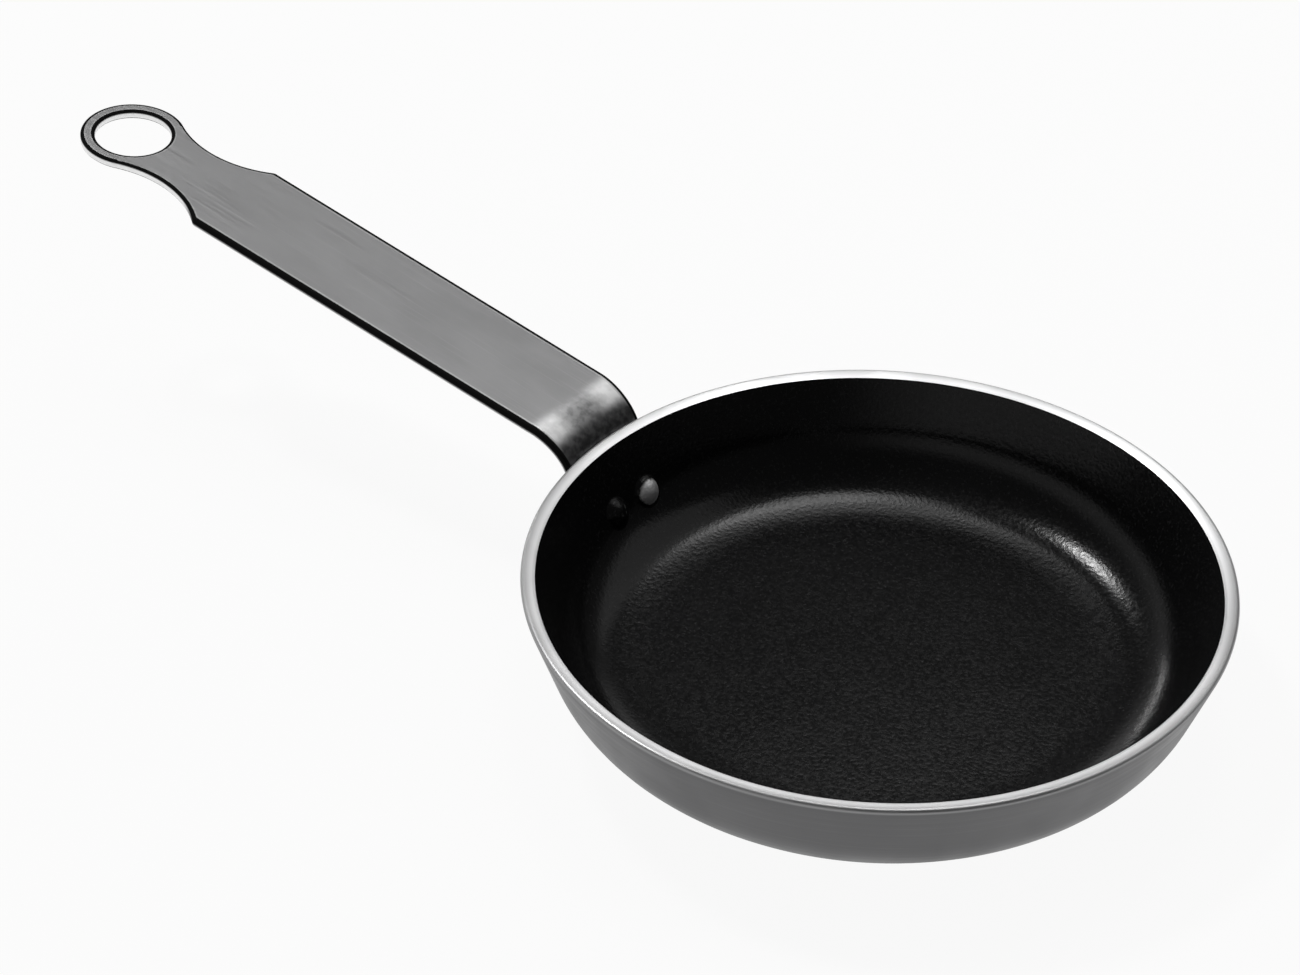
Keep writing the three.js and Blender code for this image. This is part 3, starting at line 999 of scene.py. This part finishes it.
class BLINI_OT_body(Operator):
    """Makes the pressed and turned aluminium body"""

    bl_idname = "blini_pan.body"
    bl_label = "Body"

    def execute(self, context):
        body = settings(context).body
        piece = turned("body_metal", body_profile(PanForm(body)), PAN_SIDES)
        dress(piece, spun_aluminium(body), "body_aluminium", "pan_body")
        return {"FINISHED"}


class BLINI_OT_lining(Operator):
    """Makes the non-stick coat on the floor and the inside of the wall"""

    bl_idname = "blini_pan.lining"
    bl_label = "Lining"

    def execute(self, context):
        pan = settings(context)
        piece = turned("lining_coat", lining_profile(PanForm(pan.body), pan.lining), PAN_SIDES)
        dress(piece, nonstick_coat(pan.lining), "nonstick_coat", "nonstick_lining")
        return {"FINISHED"}


class BLINI_OT_handle(Operator):
    """Makes the strip handle with its bend, flange, waist and hanging eye"""

    bl_idname = "blini_pan.handle"
    bl_label = "Handle"

    def execute(self, context):
        pan = settings(context)
        form = StripForm(PanForm(pan.body), pan.handle, pan.rivets)
        dress(handle_mesh(form), rolled_steel(pan.handle, form), "handle_steel", "handle")
        return {"FINISHED"}


class BLINI_OT_rivets(Operator):
    """Makes the rivets, and drills their holes through the wall, the lining and the flange"""

    bl_idname = "blini_pan.rivets"
    bl_label = "Rivets"

    def execute(self, context):
        pan = settings(context)
        pieces = [context.scene.objects[name] for name in ("body_metal", "lining_coat", "handle_strip")]
        lining, handle = pieces[1:]
        coat = worn_coat(pan.lining, pan.rivets)
        metal = rivet_metal(pan.rivets)
        cutters = []
        wear = {"rivet_left": pan.rivets.left_wear, "rivet_right": pan.rivets.right_wear}
        for node, side in (("rivet_left", -1.0), ("rivet_right", 1.0)):
            place = rivet_place(PanForm(pan.body), pan.rivets, side)
            dress(self.coated_head(node, place, pan, lining, wear[node]), coat, "nonstick_coat", node)
            dress(self.shank(node, place, pan, handle), metal, "rivet_metal", node)
            cutters.append(self.cutter(place, pan))
        for piece in pieces:
            drill(piece, cutters)
        for cutter in cutters:
            bpy.data.objects.remove(cutter)
        return {"FINISHED"}

    def coated_head(self, node, place, pan, lining, wear):
        """Head inside the pan. The coat runs in round its foot, and wears off on its crown."""
        rivets = pan.rivets
        inward = Matrix.Rotation(math.pi, 4, "X")
        seat = place @ Matrix.Translation((0.0, 0.0, -pan.body.wall - pan.lining.coat)) @ inward
        profile = dome(rivets.inner_head_diameter, rivets.inner_head_height)
        foot = Vector((rivets.inner_head_diameter / 2 + rivets.coat_fillet, 0.0))
        joint = profile[2]
        corner = Vector((rivets.inner_head_diameter / 2, 0.0))
        run_in = []
        for i in range(ROUND_STEPS):
            part = i / ROUND_STEPS
            run_in.append(foot.lerp(corner, part).lerp(corner.lerp(joint, part), part))
        sunk = [Vector((0.0, -SEAM)), Vector((foot.x, -SEAM))]
        head = turned(node + "_coated_head", [*sunk, *run_in, *profile[2:]], RIVET_SIDES)
        crown = head.data.attributes.new("crown", "FLOAT", "POINT")
        for vertex, number in zip(head.data.vertices, crown.data):
            number.value = wear * vertex.co.z / rivets.inner_head_height
        settle(head, seat, rivets.inner_head_height, lining)
        return head

    def shank(self, node, place, pan, handle):
        """Shank through the wall and the flange, with the head formed on the flange."""
        rivets = pan.rivets
        clad = SEAM + pan.handle.strip
        seat = place @ Matrix.Translation((0.0, 0.0, clad))
        radius = rivets.shank_diameter / 2
        inner_end = -(clad + pan.body.wall + pan.lining.coat)
        profile = [
            Vector((0.0, inner_end)),
            Vector((radius, inner_end)),
            Vector((radius, 0.0)),
            *dome(rivets.outer_head_diameter, rivets.outer_head_height),
        ]
        shank = turned(node + "_set", profile, RIVET_SIDES)
        settle(shank, seat, rivets.outer_head_height, handle, lowest=0.0)
        return shank

    def cutter(self, place, pan):
        """Bar that cuts one rivet's hole."""
        rivets = pan.rivets
        radius = rivets.shank_diameter / 2 + rivets.hole_clearance
        outer = pan.handle.strip + rivets.outer_head_height / 2
        inner = -(pan.body.wall + pan.lining.coat + rivets.inner_head_height / 2)
        corners = ((0.0, inner), (radius, inner), (radius, outer), (0.0, outer))
        bar = turned("rivet_hole", [Vector(corner) for corner in corners], RIVET_SIDES)
        bar.data.transform(place)
        return bar


class BLINI_OT_stage(Operator):
    """Sets the floor, the lamps, the light from all round and the camera"""

    bl_idname = "blini_pan.stage"
    bl_label = "Stage"

    def execute(self, context):
        stage = settings(context).stage
        self.floor(context, stage)
        self.surround(context, stage)
        self.lamps(context, stage)
        self.camera(context, stage)
        context.scene.view_settings.view_transform = "Standard"
        return {"FINISHED"}

    def floor(self, context, stage):
        half = stage.floor_width / 2
        corners = [(-half, -half, 0.0), (half, -half, 0.0), (half, half, 0.0), (-half, half, 0.0)]
        mesh = bpy.data.meshes.new("floor")
        mesh.from_pydata(corners, [], [(0, 1, 2, 3)])
        mesh.materials.append(pale_floor(stage))
        floor = bpy.data.objects.new("floor", mesh)
        context.scene.collection.objects.link(floor)

    def surround(self, context, stage):
        """White to the eye and low behind the pan, fainter low on the left, and dim elsewhere."""
        world = bpy.data.worlds.new("surround")
        world.use_nodes = True
        context.scene.world = world
        nodes = Nodes(world.node_tree)
        towards = nodes.node("TexCoord", {}, "Generated")

        def fade(axis, start, end):
            along = nodes.node("VectorMath", {0: towards, 1: axis}, "Value", operation="DOT_PRODUCT")
            return nodes.ramp(along, start, end)

        away = (-math.sin(stage.azimuth), math.cos(stage.azimuth), 0.0)
        left = (-math.cos(stage.azimuth), -math.sin(stage.azimuth), 0.0)
        low = fade((0.0, 0.0, 1.0), math.sin(stage.dim_above), math.sin(stage.white_below))
        behind = fade(away, math.cos(stage.dim_beyond), math.cos(stage.white_within))
        room = nodes.product(fade(left, ROOM_FROM, ROOM_FULL), stage.room_level)
        lit = nodes.product(low, nodes.greater(behind, room))
        seen = nodes.node("LightPath", {}, "Is Camera Ray")
        levels = {"Value": nodes.greater(lit, seen), "To Min": stage.dim_level, "To Max": 1.0}
        background = nodes.tree.nodes["Background"]
        nodes.feed(background.inputs["Color"], (1.0, 1.0, 1.0, 1.0))
        nodes.feed(background.inputs["Strength"], nodes.node("MapRange", levels))

    def lamps(self, context, stage):
        """The lamps, each turned to the foot of the pan's axis."""
        for name in LAMPS:
            height = getattr(stage, name + "_height")
            heading = stage.azimuth - getattr(stage, name + "_heading")
            away = Vector((-math.sin(heading), math.cos(heading), 0.0))
            lamp = bpy.data.lights.new(name, "AREA")
            lamp.shape = "RECTANGLE"
            lamp.size = getattr(stage, name + "_width")
            lamp.size_y = getattr(stage, name + "_depth")
            lamp.energy = getattr(stage, name + "_power")
            holder = bpy.data.objects.new(name, lamp)
            towards = away * math.cos(height) + Vector((0.0, 0.0, math.sin(height)))
            holder.location = towards * stage.lamp_distance
            holder.rotation_euler = (-towards).to_track_quat("-Z", "Y").to_euler()
            context.scene.collection.objects.link(holder)

    def camera(self, context, stage):
        """Camera that looks down at the pan and shows its aim at the aim's pixel."""
        camera = bpy.data.cameras.new("camera")
        camera.lens = stage.lens
        camera.sensor_fit = "HORIZONTAL"
        tilt = Matrix.Rotation(math.pi / 2 - stage.elevation, 3, "X")
        view = Matrix.Rotation(stage.azimuth, 3, "Z") @ tilt
        per_pixel = stage.distance * camera.sensor_width / camera.lens / PICTURE_WIDTH
        right = (stage.aim_pixel[0] - PICTURE_WIDTH / 2) * per_pixel
        up = (PICTURE_HEIGHT / 2 - stage.aim_pixel[1]) * per_pixel
        holder = bpy.data.objects.new("camera", camera)
        holder.location = Vector((0.0, 0.0, stage.aim_height)) - view @ Vector((right, up, -stage.distance))
        holder.rotation_euler = view.to_euler()
        context.scene.collection.objects.link(holder)
        context.scene.camera = holder


class BLINI_PT_panel(Panel):
    """Sizes, colours and makers of the blini pan"""

    bl_label = "Blini Pan"
    bl_idname = "BLINI_PT_panel"
    bl_space_type = "VIEW_3D"
    bl_region_type = "UI"
    bl_category = "Blini Pan"

    def draw(self, context):
        pan = settings(context)
        for maker in OPERATORS:
            part = maker.bl_idname.split(".")[1]
            box = self.layout.box()
            box.operator(maker.bl_idname)
            group = getattr(pan, part)
            for name in group.bl_rna.properties.keys():
                if name not in {"rna_type", "name"}:
                    box.prop(group, name)


OPERATORS = (BLINI_OT_body, BLINI_OT_lining, BLINI_OT_handle, BLINI_OT_rivets, BLINI_OT_stage)
CLASSES = (
    BliniBodySettings,
    BliniLiningSettings,
    BliniHandleSettings,
    BliniRivetSettings,
    BliniStageSettings,
    BliniPanSettings,
    *OPERATORS,
    BLINI_PT_panel,
)


def register():
    for cls in CLASSES:
        bpy.utils.register_class(cls)
    bpy.types.Scene.blini_pan = PointerProperty(type=BliniPanSettings)


def unregister():
    del bpy.types.Scene.blini_pan
    for cls in reversed(CLASSES):
        bpy.utils.unregister_class(cls)


def main():
    register()
    bpy.ops.blini_pan.body()
    bpy.ops.blini_pan.lining()
    bpy.ops.blini_pan.handle()
    bpy.ops.blini_pan.rivets()
    bpy.ops.blini_pan.stage()


if __name__ == "__main__":
    main()
